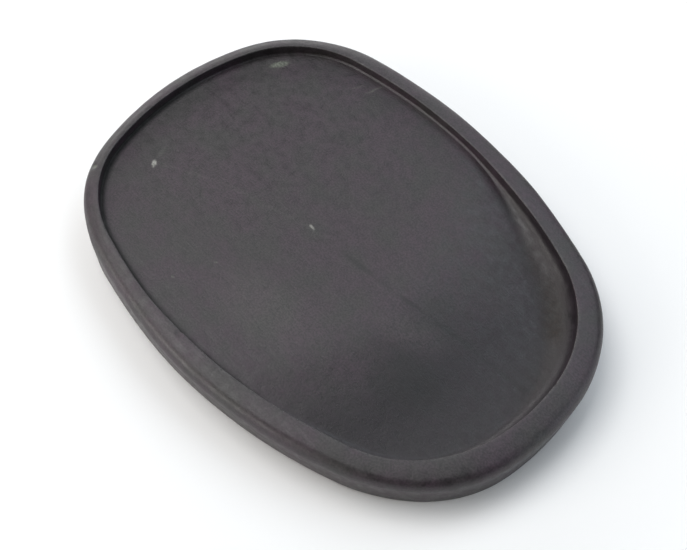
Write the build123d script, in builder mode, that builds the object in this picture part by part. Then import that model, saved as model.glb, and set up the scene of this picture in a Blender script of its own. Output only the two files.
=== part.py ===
from build123d import *

import os
from math import cos, radians, sin, tan

# An oval inkstone, ground from one block of dark stone, in millimetres.
# A thin rim stands around a flat grinding face. Towards one end the face slopes
# down into the well, where the ink gathers. The origin is the centre of the flat
# underside, +Z is up, and +X runs along the stone's length towards the well.

# Outlines: the outer one is the stone's where its sides' two leans meet, and the inner one
# is the recess's. Each half is five tangent arcs, from the well end to the far end. An arc
# covers the same range of directions in both, so both use these joins: the direction of
# the outline's normal, in degrees from +X, where one arc meets the next.
join_directions = (10, 69, 102, 162)

# Radius of each arc. The well shoulder's radius isn't here, because it follows from the
# others: it is the one that brings the half outline back to the long axis.
outer_well_end = 70.5
outer_side = 157
outer_far_shoulder = 40
outer_far_end = 79.5

inner_well_end = 61.5
inner_side = 152.9
inner_far_shoulder = 32
inner_far_end = 77

rim_width_at_well_end = 7.2

# Heights
thickness = 14.5
widest_height = 11.6
face_depth = 3.0
well_depth = 8.0

# Lean of the sides from upright, above and below the widest height
upper_flank_angle = 30
lower_flank_angle = 7

# Slope from the grinding face down to the well. It is turned about an upright axis on the
# long axis, so that the face ends in an arc that bulges towards the well.
slope_axis_x = -44
slope_start_radius = 62
slope_angle = 9
crest_radius = 70
dish_radius = 120
dish_rise_angle = 10

# Rounding
rim_outer_rounding = 2.0
rim_inner_rounding = 0.25
base_rounding = 2.0
flank_rounding = 5
well_cove_radius = 6.0
cove_undercut = 0.3

# The cutting solids reach this far past the surfaces that they cut through.
overcut = 5

# The band that carries the sides' section overlaps the core inside it.
band_width = 14
core_inset = 12


def all_radii(well_end, side, far_shoulder, far_end):
    """The five radii of a half outline, with the well shoulder's radius worked out."""
    turns = [0, *join_directions, 180]
    rises = [sin(radians(b)) - sin(radians(a)) for a, b in zip(turns, turns[1:])]
    others = well_end * rises[0] + side * rises[2] + far_shoulder * rises[3] + far_end * rises[4]
    return [well_end, -others / rises[1], side, far_shoulder, far_end]


def outline_length(radii):
    """Distance along X from the well end of an outline to its far end."""
    turns = [0, *join_directions, 180]
    runs = [cos(radians(a)) - cos(radians(b)) for a, b in zip(turns, turns[1:])]
    return sum(radius * run for radius, run in zip(radii, runs))


def draw_outline(radii, well_end_x):
    """The closed outline, as arcs chained by their centres and mirrored in the long axis."""
    turns = [0, *join_directions, 180]
    centre = Vector(well_end_x - radii[0], 0)
    for i, radius in enumerate(radii):
        CenterArc(centre, radius, turns[i], turns[i + 1] - turns[i])
        if i + 1 < len(radii):
            towards_join = Vector(cos(radians(turns[i + 1])), sin(radians(turns[i + 1])))
            centre += towards_join * (radius - radii[i + 1])
    mirror(about=Plane.XZ)


outer_radii = all_radii(outer_well_end, outer_side, outer_far_shoulder, outer_far_end)
inner_radii = all_radii(inner_well_end, inner_side, inner_far_shoulder, inner_far_end)
outer_well_x = outline_length(outer_radii) / 2
inner_well_x = outer_well_x - rim_width_at_well_end
face_height = thickness - face_depth
well_height = thickness - well_depth

# Everything above the floor of the recess: level over the grinding face, then a rounded
# crest, a straight slope and the dished bottom of the well.
slope = radians(slope_angle)
crest_end = (
    slope_start_radius + crest_radius * sin(slope),
    face_height - crest_radius * (1 - cos(slope)),
)
dish_start_height = well_height + dish_radius * (1 - cos(slope))
slope_run = (crest_end[1] - dish_start_height) * cos(slope) / sin(slope)
dish_start = (crest_end[0] + slope_run, dish_start_height)
dish_centre = (dish_start[0] + dish_radius * sin(slope), well_height + dish_radius)
dish_end_direction = 270 + dish_rise_angle
dish_end = (
    dish_centre[0] + dish_radius * cos(radians(dish_end_direction)),
    dish_centre[1] + dish_radius * sin(radians(dish_end_direction)),
)

with BuildPart() as above_floor:
    with BuildSketch(Plane.XZ.move(Location((slope_axis_x, 0, 0)))):
        with BuildLine():
            Line((0, face_height), (slope_start_radius, face_height))
            RadiusArc((slope_start_radius, face_height), crest_end, crest_radius)
            Line(crest_end, dish_start)
            CenterArc(dish_centre, dish_radius, 270 - slope_angle, slope_angle + dish_rise_angle)
            Polyline(
                dish_end,
                (dish_end[0], thickness + overcut),
                (0, thickness + overcut),
                (0, face_height),
            )
        make_face()
    revolve(axis=Axis((slope_axis_x, 0, 0), (0, 0, 1)))

# The recess: its walls follow the inner outline and turn into the well's bottom in a cove.
with BuildPart() as recess:
    with BuildSketch(Plane.XY.offset(well_height - cove_undercut)):
        with BuildLine():
            draw_outline(inner_radii, inner_well_x)
        make_face()
    extrude(amount=cove_undercut + well_depth + overcut)
    fillet(recess.faces().sort_by(Axis.Z)[0].edges(), well_cove_radius)
    add(above_floor.part, mode=Mode.INTERSECT)

# The stone itself: an upright core, and around it a band with the section of the sides,
# which lean in above and below the height where they are widest.
lean_in_at_top = (thickness - widest_height) * tan(radians(upper_flank_angle))
lean_in_at_base = widest_height * tan(radians(lower_flank_angle))
band_inner_x = outer_well_x - band_width

with BuildPart() as inkstone_body:
    with BuildSketch():
        with BuildLine():
            draw_outline([radius - core_inset for radius in outer_radii], outer_well_x - core_inset)
        make_face()
    extrude(amount=thickness)
    with BuildLine(mode=Mode.PRIVATE) as outer_outline:
        draw_outline(outer_radii, outer_well_x)
    with BuildSketch(Plane.XZ):
        with BuildLine():
            FilletPolyline(
                (band_inner_x, 0),
                (outer_well_x - lean_in_at_base, 0),
                (outer_well_x, widest_height),
                (outer_well_x - lean_in_at_top, thickness),
                (band_inner_x, thickness),
                radius=[base_rounding, flank_rounding, rim_outer_rounding],
            )
            Line((band_inner_x, thickness), (band_inner_x, 0))
        make_face()
    sweep(path=outer_outline.wires()[0])
    add(recess.part, mode=Mode.SUBTRACT)
    fillet(inkstone_body.faces().sort_by(Axis.Z)[-1].inner_wires()[0].edges(), rim_inner_rounding)

inkstone_body.part.label = "inkstone_body"
os.makedirs("parts", exist_ok=True)
export_step(inkstone_body.part, "parts/inkstone_body.step")
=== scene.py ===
import math

import bpy
import numpy as np
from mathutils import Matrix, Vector


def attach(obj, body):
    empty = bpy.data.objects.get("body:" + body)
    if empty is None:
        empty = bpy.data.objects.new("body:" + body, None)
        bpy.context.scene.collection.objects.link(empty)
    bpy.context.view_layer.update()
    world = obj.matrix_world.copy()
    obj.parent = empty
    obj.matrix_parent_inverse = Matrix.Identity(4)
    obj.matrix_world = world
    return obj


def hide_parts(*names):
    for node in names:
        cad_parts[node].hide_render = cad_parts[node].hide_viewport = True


# The looks of an oval inkstone: one block of dark stone, ground smooth to a matt satin.
# The stone's mesh is worked out in millimetres from the same few dimensions as the CAD
# part, and turned into metres where the mesh is made.

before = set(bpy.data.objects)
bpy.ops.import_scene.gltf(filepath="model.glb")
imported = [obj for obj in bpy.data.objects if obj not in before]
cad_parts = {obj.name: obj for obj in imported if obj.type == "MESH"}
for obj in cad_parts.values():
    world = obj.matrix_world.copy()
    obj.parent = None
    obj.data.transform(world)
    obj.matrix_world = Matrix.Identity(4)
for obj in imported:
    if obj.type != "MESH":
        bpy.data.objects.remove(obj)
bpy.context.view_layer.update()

MM = 0.001
NODE = "inkstone_body"

# --- The stone's dimensions, as in the CAD part ------------------------------------------

# Each half outline is five tangent arcs from the well end to the far end, and in both
# outlines the arcs start and end at these normal directions. The second radius, the well
# shoulder's, follows from the others.
TURNS = np.array([0, 10, 69, 102, 162, 180], float)
OUTER_RADII = {"well_end": 70.5, "side": 157, "far_shoulder": 40, "far_end": 79.5}
INNER_RADII = {"well_end": 61.5, "side": 152.9, "far_shoulder": 32, "far_end": 77}
RIM_WIDTH_AT_WELL_END = 7.2

THICKNESS = 14.5
WIDEST_HEIGHT = 11.6
FACE_DEPTH = 3.0
WELL_DEPTH = 8.0

LOWER_FLANK_ANGLE = 7

SLOPE_AXIS_X = -44
SLOPE_START_RADIUS = 62
SLOPE_ANGLE = 9
CREST_RADIUS = 70
DISH_RADIUS = 120

RIM_INNER_ROUNDING = 0.25
BASE_ROUNDING = 2.0

# --- What the looks do differently -------------------------------------------------------

# The rim falls away a little towards its outer corner, which is rounder than the CAD
# part's, and the sides' lean above their widest height is a little less.
RIM_OUTER_TILT = 12
RIM_CORNER_DROP = 0.68
RIM_OUTER_ROUNDING = 2.6
UPPER_FLANK_ANGLE = 28
FLANK_ROUNDING = 4

# The cove where the recess's wall meets its floor: small round the grinding face, and
# growing with the floor's depth to a wide one in the well, wider on the +Y side.
FACE_COVE_WIDTH = 0.6
FACE_COVE_HEIGHT = 0.6
WELL_COVE_WIDTH = 4.0
WELL_COVE_EXTRA_WIDTH = 4.2
WELL_COVE_HEIGHT = 5.6

# Over these directions, from one to the other, the well's cove widens by the extra.
COVE_WIDENS = (-10, 45)

# Hand grinding leaves the surfaces a little uneven, the recess less so than the outside:
# long waves, with a fine ripple over them, each made of this many plane waves.
OUTSIDE_UNEVENNESS = 0.10
RECESS_UNEVENNESS = 0.03
LONG_WAVE = 30
RIPPLE_UNEVENNESS = 0.012
SHORT_WAVE = 5
WAVES = 28
WAVELENGTH_SPREAD = (0.7, 1.5)

# Where the hand-ground side is flatter or fuller than its even outline, all on its -Y side:
# the direction that it faces there, how far this reaches along the outline towards the far
# end and towards the well, and how much is off at the rim and at the base.
UNEVEN_SIDES = (
    (-60, 40, 20, 0.35, 0.55),
    (-112, 24, 60, 1.70, 0.20),
    (-163, 26, 26, 0.50, 0.50),
    (-12, 24, 24, -0.10, -0.55),
)

# Where the recess is a little inside its even outline: the same, and how far inside it is
INNER_FLAT = (-114, 30, 44, 0.6)

# Small chips: centre, radius, and how far the surface is knocked down
CHIPS = (
    ((-6.9, -49.1, 14.5), 1.3, 0.3),
    ((45.2, -38.1, 14.5), 1.1, 0.3),
    ((-64.2, -34.0, 13.6), 1.4, 0.3),
    ((-57.6, 39.6, 14.0), 0.9, 0.2),
    ((19.5, 54.0, 13.4), 1.1, 0.25),
    ((66.9, 10.4, 14.5), 0.9, 0.2),
)

# A vein crosses the grinding face and the slope, pale up to its bright fleck and dark after.
VEIN_POINTS = ((-56, -20), (-37, -10), (-9, -2), (20, 0.5), (45, 5), (64, 7))
VEIN_TURNS_DARK = (-10, 6)

# Anywhere but on the floor, the stone counts as being this far from the vein.
OFF_THE_VEIN = 50

# Ink darkens the floor over this distance past the start of the slope.
INK_REACH = 38

# Silt lies in the cove on the +Y side of the well. It sets in between these positions
# across and along the stone, and these are its distances from the wall.
SILT_ACROSS = (-5, 25)
SILT_ALONG = (20, 50)
SILT_STARTS, SILT_THICKEST, SILT_ENDS = 0.3, 4.5, 11

# Painted shade lies where the wall meets the floor on the -Y side. These are its distances
# from the wall, and it sets in between these distances from the long axis.
FOOT_FULL, FOOT_ENDS = 0.5, 1.9
FOOT_ACROSS = (-15, 5)

# --- Mesh density ------------------------------------------------------------------------

# Columns along half an outline, and rows over each surface. The rows of the underside and
# the floor close in on a line along the middle, which is this share of the recess's length.
HALF_COLUMNS = 344
UNDERSIDE_ROWS = 14
ROUNDING_ROWS = 9
FLANK_ROWS = 6
RIM_ROWS = 9
INNER_ROUNDING_ROWS = 6
INNER_WALL_ROWS = 7
COVE_ROWS = 18
FLOOR_ROWS = 62
SPINE_SHARE = 0.45


def all_radii(well_end, side, far_shoulder, far_end):
    """Five radii of a half outline. The well shoulder's brings it back to the long axis."""
    rises = np.diff(np.sin(np.radians(TURNS)))
    others = well_end * rises[0] + side * rises[2] + far_shoulder * rises[3] + far_end * rises[4]
    return np.array([well_end, -others / rises[1], side, far_shoulder, far_end])


def outline_length(radii):
    """Distance along X from an outline's well end to its far end."""
    return float(-(radii * np.diff(np.cos(np.radians(TURNS)))).sum())


def outline_points(radii, well_end_x, direction):
    """Points of an outline where its normal has these directions, from -180 to 180 degrees."""
    turns = np.radians(TURNS)
    turned = np.radians(np.abs(direction))
    x = np.full_like(turned, well_end_x)
    y = np.zeros_like(turned)
    for radius, start, end in zip(radii, turns, turns[1:]):
        passed = np.clip(turned, start, end)
        x += radius * (np.cos(passed) - math.cos(start))
        y += radius * (np.sin(passed) - math.sin(start))
    return np.stack([x, y * np.sign(direction)], axis=1)


OUTER = all_radii(**OUTER_RADII)
INNER = all_radii(**INNER_RADII)
OUTER_WELL_X = outline_length(OUTER) / 2
INNER_WELL_X = OUTER_WELL_X - RIM_WIDTH_AT_WELL_END
TRAVELLED = np.concatenate([[0], np.cumsum(OUTER * np.radians(np.diff(TURNS)))])


def travelled_to(direction):
    """Distance along the outer outline from the well end to where it faces this way."""
    return np.sign(direction) * np.interp(np.abs(direction), TURNS, TRAVELLED)


def ring_directions():
    """Normal directions of the mesh's columns, evenly spaced along the outer outline."""
    half = np.interp(np.linspace(0, TRAVELLED[-1], HALF_COLUMNS + 1), TRAVELLED, TURNS)
    return np.concatenate([half, -half[-2:0:-1]])


def floor_height(x, y):
    """Height of the recess's floor: level face, rounded crest, straight slope, dished well."""
    slope = math.radians(SLOPE_ANGLE)
    face = THICKNESS - FACE_DEPTH
    bottom = THICKNESS - WELL_DEPTH
    crest_run = CREST_RADIUS * math.sin(slope)
    crest_end = face - CREST_RADIUS * (1 - math.cos(slope))
    dish_start = bottom + DISH_RADIUS * (1 - math.cos(slope))
    slope_run = (crest_end - dish_start) / math.tan(slope)
    out = np.hypot(x - SLOPE_AXIS_X, y) - SLOPE_START_RADIUS
    on_crest = np.clip(out, 0, crest_run)
    on_slope = np.clip(out - crest_run, 0, slope_run)
    from_lowest = out - crest_run - slope_run - DISH_RADIUS * math.sin(slope)
    in_dish = np.maximum(from_lowest, -DISH_RADIUS * math.sin(slope))
    crest_drop = CREST_RADIUS - np.sqrt(CREST_RADIUS**2 - on_crest**2)
    dish_rise = DISH_RADIUS - np.sqrt(DISH_RADIUS**2 - in_dish**2)
    dish_drop = DISH_RADIUS * (1 - math.cos(slope)) - dish_rise
    return face - crest_drop - on_slope * math.tan(slope) - dish_drop


def smooth_step(value, low, high):
    """0 up to low, 1 from high on, and smooth between."""
    t = np.clip((value - low) / (high - low), 0, 1)
    return t * t * (3 - 2 * t)


def bell(direction, facing, to_far_end, to_well):
    """1 where the outline faces this way, falling smoothly to 0 along it on each side."""
    half_length = travelled_to(180)
    away = travelled_to(direction) - travelled_to(facing)
    away = (away + half_length) % (2 * half_length) - half_length
    return 1 - smooth_step(np.where(away < 0, -away / to_far_end, away / to_well), 0, 1)


def side_section():
    """The side's section, from the underside up to the rim: inset from the outline, height."""
    corner_height = THICKNESS - RIM_CORNER_DROP
    corner_inset = (corner_height - WIDEST_HEIGHT) * math.tan(math.radians(UPPER_FLANK_ANGLE))
    base_inset = WIDEST_HEIGHT * math.tan(math.radians(LOWER_FLANK_ANGLE))
    upper, lower = 90 - UPPER_FLANK_ANGLE, 90 + LOWER_FLANK_ANGLE
    corners = [
        ((base_inset, 0), 180, lower, BASE_ROUNDING),
        ((0, WIDEST_HEIGHT), lower, upper, FLANK_ROUNDING),
        ((corner_inset, corner_height), upper, RIM_OUTER_TILT, RIM_OUTER_ROUNDING),
    ]
    section = []
    for corner, tilt_before, tilt_after, radius in corners:
        turns = np.radians(np.linspace(tilt_before, tilt_after, ROUNDING_ROWS))
        outward = np.stack([-np.sin(turns), np.cos(turns)], axis=1)
        towards_corner = (outward[0] + outward[-1]) / (1 + outward[0] @ outward[-1])
        arc = np.array(corner) + radius * (outward - towards_corner)
        if section:
            section.extend(np.linspace(section[-1], arc[0], FLANK_ROWS)[1:-1])
        section.extend(arc)
    return np.array(section)


def stone_rows():
    """Rows of points round the stone, from the underside's middle to the floor's middle.

    Each row comes with the name of the surface that it is on, and each point with how far
    inside the recess's outline it is in plan.
    """
    direction = ring_directions()
    turned = np.radians(direction)
    normal = np.stack([np.cos(turned), np.sin(turned)], axis=1)
    outer = outline_points(OUTER, OUTER_WELL_X, direction)
    inner = outline_points(INNER, INNER_WELL_X, direction)
    facing, to_far_end, to_well, flat_off = INNER_FLAT
    inner -= normal * (flat_off * bell(direction, facing, to_far_end, to_well))[:, None]
    spine = np.stack([inner[:, 0] * SPINE_SHARE, np.zeros(len(inner))], axis=1)
    rows = []

    def add_row(surface, flat, height):
        heights = np.broadcast_to(height, len(flat))
        inside = ((inner - flat) * normal).sum(axis=1)
        rows.append((surface, np.column_stack([flat, heights, inside])))

    section = side_section()
    base_edge = outer - normal * section[0, 0]
    for t in np.linspace(0, 1, UNDERSIDE_ROWS)[:-1]:
        add_row("underside", spine + (base_edge - spine) * t, 0)
    for inset, height in section:
        off = np.full(len(direction), inset)
        for facing, to_far_end, to_well, off_rim, off_base in UNEVEN_SIDES:
            here = bell(direction, facing, to_far_end, to_well)
            off += here * (off_base + (off_rim - off_base) * height / THICKNESS)
        add_row("side", outer - normal * off[:, None], height)
    rim_out = rows[-1][1]
    rim_in = inner + normal * RIM_INNER_ROUNDING
    for t in np.linspace(1, 0, RIM_ROWS)[1:-1]:
        flat = rim_in + (rim_out[:, :2] - rim_in) * t
        add_row("rim", flat, THICKNESS - (THICKNESS - rim_out[:, 2]) * t**2)
    for turn in np.linspace(0, math.pi / 2, INNER_ROUNDING_ROWS):
        inset = RIM_INNER_ROUNDING * (1 - math.sin(turn))
        height = THICKNESS - RIM_INNER_ROUNDING * (1 - math.cos(turn))
        add_row("inner_edge", inner + normal * inset, height)

    near_wall = inner - normal * FACE_COVE_WIDTH
    local_depth = THICKNESS - floor_height(near_wall[:, 0], near_wall[:, 1])
    growth = smooth_step(local_depth, FACE_DEPTH, WELL_DEPTH)
    well_cove = WELL_COVE_WIDTH + WELL_COVE_EXTRA_WIDTH * smooth_step(direction, *COVE_WIDENS)
    cove_width = FACE_COVE_WIDTH + (well_cove - FACE_COVE_WIDTH) * growth
    cove_height = FACE_COVE_HEIGHT + (WELL_COVE_HEIGHT - FACE_COVE_HEIGHT) * growth
    wall_top = THICKNESS - RIM_INNER_ROUNDING
    wall_foot = floor_height(inner[:, 0], inner[:, 1]) + cove_height
    for t in np.linspace(0, 1, INNER_WALL_ROWS)[1:]:
        add_row("wall", inner, wall_top + (wall_foot - wall_top) * t)
    for turn in np.linspace(0, math.pi / 2, COVE_ROWS)[1:]:
        flat = inner - normal * (cove_width * (1 - math.cos(turn)))[:, None]
        height = floor_height(flat[:, 0], flat[:, 1]) + cove_height * (1 - math.sin(turn))
        add_row("cove", flat, height)
    cove_foot = inner - normal * cove_width[:, None]
    for t in np.linspace(0, 1, FLOOR_ROWS)[1:]:
        flat = cove_foot + (spine - cove_foot) * t
        add_row("floor", flat, floor_height(flat[:, 0], flat[:, 1]))
    return rows


def waves(points, wavelength, seed):
    """Smooth unevenness of about 1 at each point: plane waves added in seeded directions."""
    random = np.random.default_rng(seed)
    directions = random.normal(size=(WAVES, 3))
    directions /= np.linalg.norm(directions, axis=1, keepdims=True)
    lengths = wavelength * random.uniform(*WAVELENGTH_SPREAD, WAVES)
    phases = random.uniform(0, 2 * math.pi, WAVES)
    turns = points @ (directions * (2 * math.pi / lengths)[:, None]).T + phases
    return np.sin(turns).sum(axis=1) / math.sqrt(WAVES)


def distance_to_vein(points):
    """Distance in plan from each point to the vein, in millimetres."""
    nearest = np.full(len(points), np.inf)
    for start, end in zip(VEIN_POINTS, VEIN_POINTS[1:]):
        run = np.subtract(end, start)
        from_start = points[:, :2] - start
        share = np.clip(from_start @ run / (run @ run), 0, 1)
        away = from_start - share[:, None] * run
        nearest = np.minimum(nearest, np.hypot(away[:, 0], away[:, 1]))
    return nearest


def roughen(mesh, points, surface):
    """Move the mesh's points off the exact shape, as hand grinding and use have left them."""
    normals = np.empty(len(points) * 3, np.float32)
    mesh.vertex_normals.foreach_get("vector", normals)
    normals = normals.reshape(-1, 3)
    outside = np.isin(surface, ["side", "rim", "inner_edge"])
    height = np.where(outside, OUTSIDE_UNEVENNESS, RECESS_UNEVENNESS)
    lift = height * waves(points, LONG_WAVE, seed=3)
    lift += RIPPLE_UNEVENNESS * waves(points, SHORT_WAVE, seed=8)
    lift *= smooth_step(points[:, 2], 0, BASE_ROUNDING)
    for centre, radius, depth in CHIPS:
        away = np.linalg.norm(points - centre, axis=1) / radius
        lift -= depth * smooth_step(-away, -1, 0)
    moved = points + normals * lift[:, None]
    mesh.vertices.foreach_set("co", (moved * MM).ravel())
    mesh.update()


def mark(mesh, points, inside, surface):
    """Store what the material needs to know of each point's place on the stone."""
    recessed = np.isin(surface, ["wall", "cove", "floor"])
    from_axis = np.hypot(points[:, 0] - SLOPE_AXIS_X, points[:, 1])
    past_slope_start = from_axis - SLOPE_START_RADIUS
    silt_side = smooth_step(points[:, 1], *SILT_ACROSS) * smooth_step(points[:, 0], *SILT_ALONG)
    silt_band = smooth_step(inside, SILT_STARTS, SILT_THICKEST)
    silt_band *= smooth_step(-inside, -SILT_ENDS, -SILT_THICKEST)
    # Painted shade on the floor along the bottom of the wall
    foot_shade = np.isin(surface, ["cove", "floor"]) * smooth_step(-inside, -FOOT_ENDS, -FOOT_FULL)
    marks = {
        "ink": recessed * smooth_step(past_slope_start, 0, INK_REACH),
        "silt": silt_band * silt_side,
        "foot_shade": foot_shade * smooth_step(-points[:, 1], *FOOT_ACROSS),
        "edge": (surface == "inner_edge") * 1.0,
        "vein": np.where(surface == "floor", distance_to_vein(points), OFF_THE_VEIN),
        "vein_dark": smooth_step(points[:, 0], *VEIN_TURNS_DARK),
    }
    for name, values in marks.items():
        attribute = mesh.attributes.new(name, "FLOAT", "POINT")
        attribute.data.foreach_set("value", values.astype(np.float32))


def build_stone():
    """The stone as one closed mesh of quads."""
    rows = stone_rows()
    columns = 2 * HALF_COLUMNS
    folded = HALF_COLUMNS + 1
    heights = [folded, *[columns] * (len(rows) - 2), folded]
    points = np.concatenate([row[:count] for (_, row), count in zip(rows, heights)])
    points, inside = points[:, :3], points[:, 3]
    surface = np.repeat([name for name, _ in rows], heights)
    ring = np.arange(columns)
    mirrored = np.minimum(ring, columns - ring)
    starts = np.cumsum([0, *heights[:-1]])
    indices = [start + ring for start in starts]
    indices[0] = starts[0] + mirrored
    indices[-1] = starts[-1] + mirrored
    quads = []
    for lower, upper in zip(indices, indices[1:]):
        quads.append(np.stack([lower, np.roll(lower, -1), np.roll(upper, -1), upper], axis=1))
    mesh = bpy.data.meshes.new("stone")
    mesh.from_pydata((points * MM).tolist(), [], np.concatenate(quads).tolist())
    mesh.shade_smooth()
    roughen(mesh, points, surface)
    mark(mesh, points, inside, surface)
    stone = bpy.data.objects.new("stone", mesh)
    bpy.context.scene.collection.objects.link(stone)
    return stone


# --- The stone's material ----------------------------------------------------------------

PURPLE_GREY = (0.0262, 0.0158, 0.0230)
GREEN_GREY = (0.0205, 0.0178, 0.0185)
INK_STAIN = (0.0060, 0.0030, 0.0060)
BROWN_SILT = (0.0120, 0.0075, 0.0040)
# Colour of the painted shade where the floor meets the wall
FOOT_SHADE = (0.0010, 0.0010, 0.0010)
# Colour of the pale minerals, also of a painted highlight
PALE_MINERAL_AND_HIGHLIGHT = (0.120, 0.130, 0.105)
WHITE_MINERAL = (0.42, 0.42, 0.38)
# Colour of the dark minerals, also of painted shade on the well's slope
DARK_MINERAL_AND_SHADE = (0.0010, 0.0010, 0.0010)
WORN_STONE = (0.0500, 0.0480, 0.0480)

# Noises: features in a metre, and levels of detail
CLOUDS = (110, 6)
BLOTCHES = (70, 4)
WANDER = (160, 2)
BREAKS = (90, 2)
MARK_EDGES = (700, 3)
WEAR = (160, 4)
GRAIN = (1900, 2)
MOTTLING = (420, 4)
STROKES = (2200, 3)

# Most of a noise's values lie between these.
NOISE_RANGE = (0.3, 0.7)

# How strongly each colour covers what is under it
INK_STRENGTH = 0.9
PALE_VEIN_STRENGTH = 0.06
DARK_VEIN_STRENGTH = 0.6

# The vein's half width and how far it wanders, in millimetres, and how far the edges of
# the mineral marks wander, in metres
VEIN_HALF_WIDTH = 1.1
VEIN_WANDER = 0.7
MARK_EDGE_SHIFT = 0.0009

# Grinding marks: the scale of their noise along the stone against across it, and its turn
STROKE_STRETCH = 0.03
STROKE_TURN = 0.2

# Roughness of the bare stone, and what grinding marks, silt and painted shade change it by
SMOOTHEST, ROUGHEST = 0.40, 0.54
STROKE_ROUGHNESS = 0.03
SILT_AND_SHADE_ROUGHNESS = 0.3

# The relief's depth in metres, and the weight of each pattern in it
RELIEF_DEPTH = 0.00004
STROKE_RELIEF = 0.6
MOTTLING_RELIEF = 1.5
VEIN_RELIEF = 0.3

# Mineral marks, and among them a painted highlight and a patch of painted shade: centre,
# half sizes and turn of each, its colour and how strong it is
MARKS = (
    ((-59.1, 29.4, 11.5), (4.0, 1.5, 1.0), 63, PALE_MINERAL_AND_HIGHLIGHT, 0.95),
    ((-59.1, 29.4, 11.5), (7.5, 3.6, 2.0), 63, PALE_MINERAL_AND_HIGHLIGHT, 0.10),
    ((-55.3, -20.2, 11.5), (1.9, 0.9, 1.0), 138, WHITE_MINERAL, 0.50),
    ((-57.0, -16.0, 11.5), (3.0, 1.0, 1.0), 110, PALE_MINERAL_AND_HIGHLIGHT, 0.12),
    ((-9.6, -1.8, 11.5), (1.5, 0.7, 1.0), -12, WHITE_MINERAL, 0.42),
    ((-63.9, -33.7, 13.6), (1.3, 0.9, 1.2), 30, PALE_MINERAL_AND_HIGHLIGHT, 0.70),
    ((-32.9, 43.6, 11.5), (5.0, 0.5, 1.0), 78, PALE_MINERAL_AND_HIGHLIGHT, 0.22),
    ((-37.0, 40.5, 11.5), (3.0, 0.5, 1.0), 70, PALE_MINERAL_AND_HIGHLIGHT, 0.15),
    ((-22.7, -39.2, 11.5), (0.8, 0.5, 1.0), 0, PALE_MINERAL_AND_HIGHLIGHT, 0.35),
    ((-18.5, -28.0, 11.5), (0.7, 0.5, 1.0), 40, PALE_MINERAL_AND_HIGHLIGHT, 0.25),
    # This broad pale patch is a painted highlight on the grinding face.
    ((0.0, -28.0, 11.5), (20, 12, 5), 8, PALE_MINERAL_AND_HIGHLIGHT, 0.085),
    ((30, -5, 11.0), (13, 7, 6), 30, PALE_MINERAL_AND_HIGHLIGHT, 0.06),
    ((38.5, 11.0, 9.5), (0.7, 0.6, 1.0), 0, DARK_MINERAL_AND_SHADE, 0.80),
    # This broad dark patch is painted shade where the well's slope is darkest.
    ((41, -13, 9.5), (17, 12, 6), 10, DARK_MINERAL_AND_SHADE, 0.55),
)


class Shading:
    """Adds nodes to a material. A socket given as an input is linked, and a value is set."""

    def __init__(self, tree):
        self.tree = tree

    def add(self, kind, inputs, output=0, **settings):
        """Add one node, and return one of its outputs."""
        node = self.tree.nodes.new(kind)
        for name, value in settings.items():
            setattr(node, name, value)
        for name, value in inputs.items():
            if isinstance(value, bpy.types.NodeSocket):
                self.tree.links.new(value, node.inputs[name])
            else:
                node.inputs[name].default_value = value
        return node.outputs[output]

    def noise(self, place, scale, detail, output=0):
        inputs = {"Vector": place, "Scale": scale, "Detail": detail}
        return self.add("ShaderNodeTexNoise", inputs, output=output)

    def stretch(self, value, low, high, to_low=0.0, to_high=1.0):
        """Map low..high smoothly to to_low..to_high."""
        inputs = {
            "Value": value,
            "From Min": low,
            "From Max": high,
            "To Min": to_low,
            "To Max": to_high,
        }
        return self.add("ShaderNodeMapRange", inputs, interpolation_type="SMOOTHSTEP")

    def math(self, operation, first, second):
        return self.add("ShaderNodeMath", {0: first, 1: second}, operation=operation)

    def vector(self, operation, inputs, output="Vector"):
        return self.add("ShaderNodeVectorMath", inputs, output=output, operation=operation)

    def blend(self, share, under, over):
        """Blend from the colour under to the one over it."""
        node = self.tree.nodes.new("ShaderNodeMix")
        node.data_type = "RGBA"
        wanted = (("Factor", "VALUE", share), ("A", "RGBA", under), ("B", "RGBA", over))
        for name, kind, value in wanted:
            socket = next(s for s in node.inputs if s.name == name and s.type == kind)
            if isinstance(value, bpy.types.NodeSocket):
                self.tree.links.new(value, socket)
            else:
                socket.default_value = (*value, 1)
        return next(s for s in node.outputs if s.type == "RGBA")

    def mark(self, place, centre, half_sizes, turn):
        """1 in a mark's middle quarter, fading to 0 at its edge."""
        inputs = {
            "Vector": place,
            "Location": [value * MM for value in centre],
            "Rotation": (0, 0, math.radians(turn)),
            "Scale": [value * MM for value in half_sizes],
        }
        within = self.add("ShaderNodeMapping", inputs, vector_type="TEXTURE")
        return self.stretch(self.vector("LENGTH", {0: within}, output="Value"), 1.0, 0.25)


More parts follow.
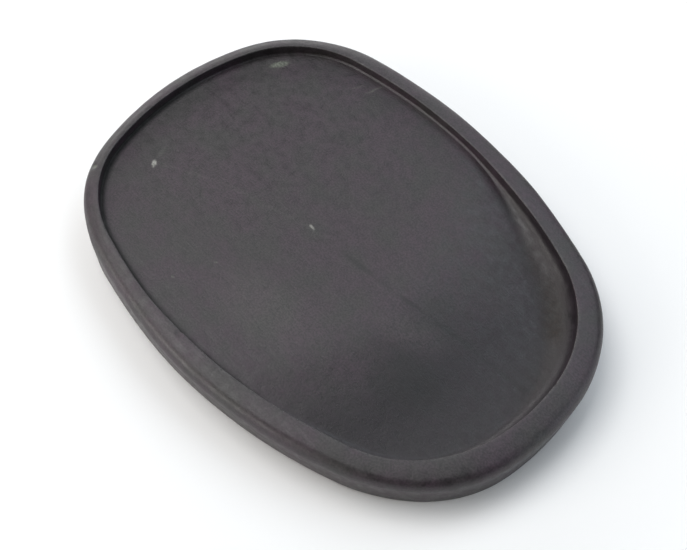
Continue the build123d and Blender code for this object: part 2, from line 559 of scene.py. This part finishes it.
def stone_material():
    """Fine dark stone: clouded purple and green grey, with a vein, marks of minerals, ink, painted
    shade and a painted highlight.
    """
    material = bpy.data.materials.new("dark_stone")
    material.use_nodes = True
    shader = material.node_tree.nodes["Principled BSDF"]
    make = Shading(material.node_tree)
    place = make.add("ShaderNodeTexCoord", {}, output="Object")

    def attribute(name):
        return make.add("ShaderNodeAttribute", {}, output="Fac", attribute_name=name)

    clouds = make.stretch(make.noise(place, *CLOUDS), 0.35, 0.68)
    colour = make.blend(clouds, PURPLE_GREY, GREEN_GREY)

    # Ink has darkened the slope and the well, unevenly. Silt has dried brown along one cove.
    blotches = make.noise(place, *BLOTCHES)
    uneven = make.stretch(blotches, *NOISE_RANGE, -0.15, 0.15)
    ink_edge = make.math("ADD", attribute("ink"), uneven)
    ink = make.math("MULTIPLY", make.stretch(ink_edge, 0.05, 0.95), INK_STRENGTH)
    colour = make.blend(ink, colour, INK_STAIN)
    silt = make.math("MULTIPLY", attribute("silt"), make.stretch(blotches, 0.3, 0.6, 0.3, 0.8))
    colour = make.blend(silt, colour, BROWN_SILT)

    # Painted shade darkens the corner where the floor meets the wall.
    foot_shade = make.math("MULTIPLY", attribute("foot_shade"), make.stretch(blotches, 0.2, 0.5, 0.75, 1.0))
    colour = make.blend(foot_shade, colour, FOOT_SHADE)

    # The vein wanders a little about its line, and is broken in places.
    wander = make.stretch(make.noise(place, *WANDER), 0.2, 0.8, -VEIN_WANDER, VEIN_WANDER)
    off_vein = make.math("ABSOLUTE", make.math("ADD", attribute("vein"), wander), 0)
    broken = make.stretch(make.noise(place, *BREAKS), 0.3, 0.6, 0.25, 1.0)
    vein = make.math("MULTIPLY", make.stretch(off_vein, VEIN_HALF_WIDTH, 0.0), broken)
    dark_vein = make.math("MULTIPLY", vein, attribute("vein_dark"))
    pale_vein = make.math("SUBTRACT", vein, dark_vein)
    pale_share = make.math("MULTIPLY", pale_vein, PALE_VEIN_STRENGTH)
    colour = make.blend(pale_share, colour, PALE_MINERAL_AND_HIGHLIGHT)
    dark_share = make.math("MULTIPLY", dark_vein, DARK_VEIN_STRENGTH)
    colour = make.blend(dark_share, colour, DARK_MINERAL_AND_SHADE)

    # Mineral marks, the painted highlight and the painted shade have uneven edges.
    shift = make.noise(place, *MARK_EDGES, output="Color")
    centred = make.vector("SUBTRACT", {0: shift, 1: (0.5, 0.5, 0.5)})
    short = make.vector("SCALE", {0: centred, "Scale": MARK_EDGE_SHIFT})
    uneven_place = make.vector("ADD", {0: place, 1: short})
    for centre, half_sizes, turn, mark_colour, strength in MARKS:
        share = make.math("MULTIPLY", make.mark(uneven_place, centre, half_sizes, turn), strength)
        colour = make.blend(share, colour, mark_colour)

    # The recess's top edge is worn pale.
    worn = make.stretch(make.noise(place, *WEAR), 0.35, 0.7, 0.1, 0.6)
    wear = make.math("MULTIPLY", attribute("edge"), worn)
    colour = make.blend(wear, colour, WORN_STONE)

    # The grain is fine specks over soft mottling.
    grain = make.noise(place, *GRAIN)
    mottling = make.noise(place, *MOTTLING)
    specks = make.stretch(grain, *NOISE_RANGE, 0.65, 1.35)
    patches = make.stretch(mottling, *NOISE_RANGE, -0.2, 0.2)
    brightness = make.math("ADD", specks, patches)
    colour = make.vector("SCALE", {0: colour, "Scale": brightness})
    make.tree.links.new(colour, shader.inputs["Base Color"])

    # Grinding marks run along the stone.
    drawn_out = {"Vector": place, "Scale": (STROKE_STRETCH, 1, 1), "Rotation": (0, 0, STROKE_TURN)}
    strokes = make.noise(make.add("ShaderNodeMapping", drawn_out), *STROKES)

    bare = make.stretch(mottling, 0.25, 0.75, SMOOTHEST, ROUGHEST)
    stroked = make.stretch(strokes, *NOISE_RANGE, -STROKE_ROUGHNESS, STROKE_ROUGHNESS)
    roughness = make.math("ADD", bare, stroked)
    # Silt, and the painted shade where the floor meets the wall, make the stone rougher.
    for silt_and_shade in (silt, foot_shade):
        roughness = make.math("ADD", roughness, make.math("MULTIPLY", silt_and_shade, SILT_AND_SHADE_ROUGHNESS))
    make.tree.links.new(roughness, shader.inputs["Roughness"])

    relief = make.math("ADD", grain, make.math("MULTIPLY", strokes, STROKE_RELIEF))
    relief = make.math("ADD", relief, make.math("MULTIPLY", mottling, MOTTLING_RELIEF))
    relief = make.math("SUBTRACT", relief, make.math("MULTIPLY", dark_vein, VEIN_RELIEF))
    bump_inputs = {"Height": relief, "Strength": 1.0, "Distance": RELIEF_DEPTH}
    bump = make.add("ShaderNodeBump", bump_inputs)
    make.tree.links.new(bump, shader.inputs["Normal"])
    return material


# --- The camera --------------------------------------------------------------------------

# Its direction from the target, in degrees from -Y towards +X and above the floor, and its
# distance and target, in millimetres
CAMERA_AZIMUTH = 47.46
CAMERA_ELEVATION = 59.0
CAMERA_DISTANCE = 298.1
CAMERA_TARGET = (8.66, -6.96, THICKNESS)

# The lens and the sensor in millimetres, and the clipping distance in metres
LENS = 60
SENSOR_WIDTH = 36
NEAREST_SHOWN = 0.01


def add_camera():
    azimuth, elevation = math.radians(CAMERA_AZIMUTH), math.radians(CAMERA_ELEVATION)
    back = Vector((
        math.sin(azimuth) * math.cos(elevation),
        -math.cos(azimuth) * math.cos(elevation),
        math.sin(elevation),
    ))
    data = bpy.data.cameras.new("camera")
    data.lens = LENS
    data.sensor_width = SENSOR_WIDTH
    data.clip_start = NEAREST_SHOWN
    camera = bpy.data.objects.new("camera", data)
    camera.location = (Vector(CAMERA_TARGET) + back * CAMERA_DISTANCE) * MM
    camera.rotation_mode = "QUATERNION"
    camera.rotation_quaternion = (-back).to_track_quat("-Z", "Y")
    bpy.context.scene.collection.objects.link(camera)
    bpy.context.scene.camera = camera


# --- Floor and light ---------------------------------------------------------------------

# The floor's side, in metres, and its surface, and the light from the room all round
FLOOR_SIZE = 4
FLOOR_COLOUR = (0.90, 0.90, 0.90)
FLOOR_ROUGHNESS = 0.6
FLOOR_SHEEN = 0.2
ROOM_COLOUR = (0.95, 0.97, 1)
ROOM_STRENGTH = 0.07

# Softboxes round the stone, all this far off: name, azimuth from +X towards +Y, elevation,
# size in metres, strength on the stone, and colour
SOFTBOX_DISTANCE = 1.6
WARM_WHITE = (1.0, 0.97, 0.925)
COOL_WHITE = (0.86, 0.935, 1.0)
WHITE = (1.0, 1.0, 1.0)
SOFTBOXES = (
    ("top", 195, 66, (1.0, 1.0), 1.66, WHITE),
    ("window", 218, 46, (1.0, 0.9), 0.56, WARM_WHITE),
    ("left", 250, 20, (1.2, 0.8), 1.22, WARM_WHITE),
    ("left_low", 244, 9, (1.8, 0.4), 0.92, WARM_WHITE),
    ("back", 100, 52, (1.0, 0.9), 0.92, COOL_WHITE),
    ("far_low", 150, 14, (2.4, 0.6), 2.10, WHITE),
    ("right_low", 36, 14, (1.0, 0.6), 0.66, COOL_WHITE),
    ("right", 45, 46, (0.9, 0.9), 0.46, COOL_WHITE),
)


def add_floor():
    bpy.ops.mesh.primitive_plane_add(size=FLOOR_SIZE)
    floor = bpy.context.object
    floor.name = "floor"
    material = bpy.data.materials.new("pale_floor")
    material.use_nodes = True
    shader = material.node_tree.nodes["Principled BSDF"]
    shader.inputs["Base Color"].default_value = (*FLOOR_COLOUR, 1)
    shader.inputs["Roughness"].default_value = FLOOR_ROUGHNESS
    shader.inputs["Specular IOR Level"].default_value = FLOOR_SHEEN
    floor.data.materials.append(material)


def add_softbox(name, azimuth, elevation, size, strength, colour):
    """A rectangular softbox that faces the stone from this direction."""
    turn, rise = math.radians(azimuth), math.radians(elevation)
    towards_light = Vector((
        math.cos(turn) * math.cos(rise),
        math.sin(turn) * math.cos(rise),
        math.sin(rise),
    ))
    data = bpy.data.lights.new(name, "AREA")
    data.shape = "RECTANGLE"
    data.size, data.size_y = size
    data.energy = strength * math.pi * SOFTBOX_DISTANCE**2
    data.color = colour
    light = bpy.data.objects.new(name, data)
    light.location = towards_light * SOFTBOX_DISTANCE
    light.rotation_mode = "QUATERNION"
    light.rotation_quaternion = (-towards_light).to_track_quat("-Z", "Y")
    bpy.context.scene.collection.objects.link(light)


def add_light():
    world = bpy.data.worlds.new("room")
    bpy.context.scene.world = world
    world.use_nodes = True
    background = world.node_tree.nodes["Background"]
    background.inputs["Color"].default_value = (*ROOM_COLOUR, 1)
    background.inputs["Strength"].default_value = ROOM_STRENGTH
    for softbox in SOFTBOXES:
        add_softbox(*softbox)
    bpy.context.scene.view_settings.view_transform = "Standard"


stone = build_stone()
stone.data.materials.append(stone_material())
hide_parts(NODE)
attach(stone, "root")
add_floor()
add_light()
add_camera()
